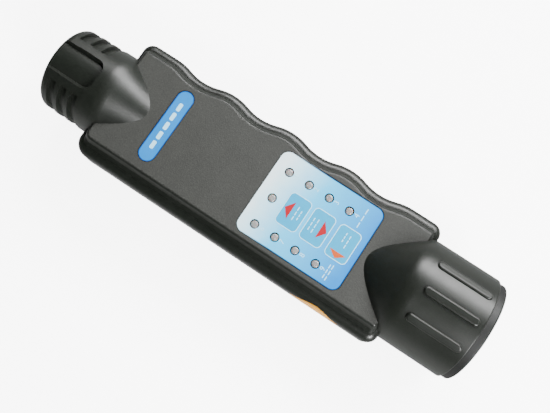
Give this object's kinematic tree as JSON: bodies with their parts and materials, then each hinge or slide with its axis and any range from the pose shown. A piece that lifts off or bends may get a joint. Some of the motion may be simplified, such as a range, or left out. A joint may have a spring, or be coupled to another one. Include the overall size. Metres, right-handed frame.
{
  "type": "trailer socket and plug tester",
  "caption": "Hand-held trailer wiring tester: flat black case with lamp panel and side test button, a pin plug at one end and a ribbed socket collar at the other.",
  "frame": {"origin": "middle of the tester's bounding box in X and Y, at its lowest point in Z", "axes": "+X along the connector axis towards the socket mouth, +Y towards the finger-grip side, +Z out of the face with the lamps"},
  "size_m": [0.1992, 0.055, 0.0465],
  "materials": {
    "case_black": "fine textured matte black moulding",
    "ring_black": "matte black moulding",
    "carrier_black": "smooth black moulding",
    "button_yellow": "satin amber yellow moulding",
    "panel_film": "printed film, pale to sky blue",
    "plate_film": "printed film, sky blue",
    "lamp_lens": "water-clear diffused lens",
    "board_green": "solder mask",
    "chip_black": "moulded package",
    "capacitor_tan": "ceramic",
    "header_white": "nylon",
    "battery_jacket": "coated steel jacket",
    "wire_red": "insulation",
    "wire_black": "insulation",
    "wire_grey": "insulation",
    "foam": "foam pad",
    "contact_brass": "turned brass",
    "seal_rubber": "soft rubber",
    "screw_steel": "zinc plated"
  },
  "bodies": {
    "casing": {"front_shell": "case_black", "rear_shell": "case_black", "socket_ring": "ring_black", "panel_label": "panel_film", "name_plate": "plate_film", "lamp_1": "lamp_lens", "lamp_2": "lamp_lens", "lamp_3": "lamp_lens", "lamp_4": "lamp_lens", "lamp_5": "lamp_lens", "lamp_6": "lamp_lens", "lamp_7": "lamp_lens", "lamp_8": "lamp_lens", "lamp_9": "lamp_lens", "circuit_board": "board_green", "controller_chip": "chip_black", "driver_chip_1": "chip_black", "driver_chip_2": "chip_black", "resistors": "chip_black", "capacitors": "capacitor_tan", "plug_header": "header_white", "socket_header": "header_white", "test_switch": "chip_black", "battery": "battery_jacket", "battery_snap": "chip_black", "battery_lead_plus": "wire_red", "battery_lead_minus": "wire_black", "plug_carrier": "carrier_black", "plug_pins": "contact_brass", "socket_carrier": "carrier_black", "socket_contacts": "contact_brass", "socket_seal": "seal_rubber", "plug_harness": "wire_grey", "socket_harness": "wire_grey", "case_screws": "screw_steel", "board_screws": "screw_steel"},
    "test_button": {"test_button": "button_yellow"},
    "switch_plunger": {"switch_plunger": "chip_black"},
    "battery_door": {"battery_door": "case_black", "door_pad": "foam"}
  },
  "joints": [
    {"name": "test_press", "type": "slide", "parent": "casing", "child": "test_button", "axis": [0, 1, 0], "range_m": [0, 0.0012], "stiffness_N_per_m": 1500, "springref_m": -0.0006},
    {"name": "plunger_slide", "type": "slide", "parent": "casing", "child": "switch_plunger", "axis": [0, 1, 0], "range_m": [0, 0.0012]},
    {"name": "door_hinge", "type": "hinge", "parent": "casing", "child": "battery_door", "pos_m": [-0.0056, 0, 0.01186], "axis": [0, -1, 0], "range_deg": [0, 90]}
  ],
  "couplings": [
    {"joint": "plunger_slide", "follows": "test_press", "ratio": 1}
  ]
}
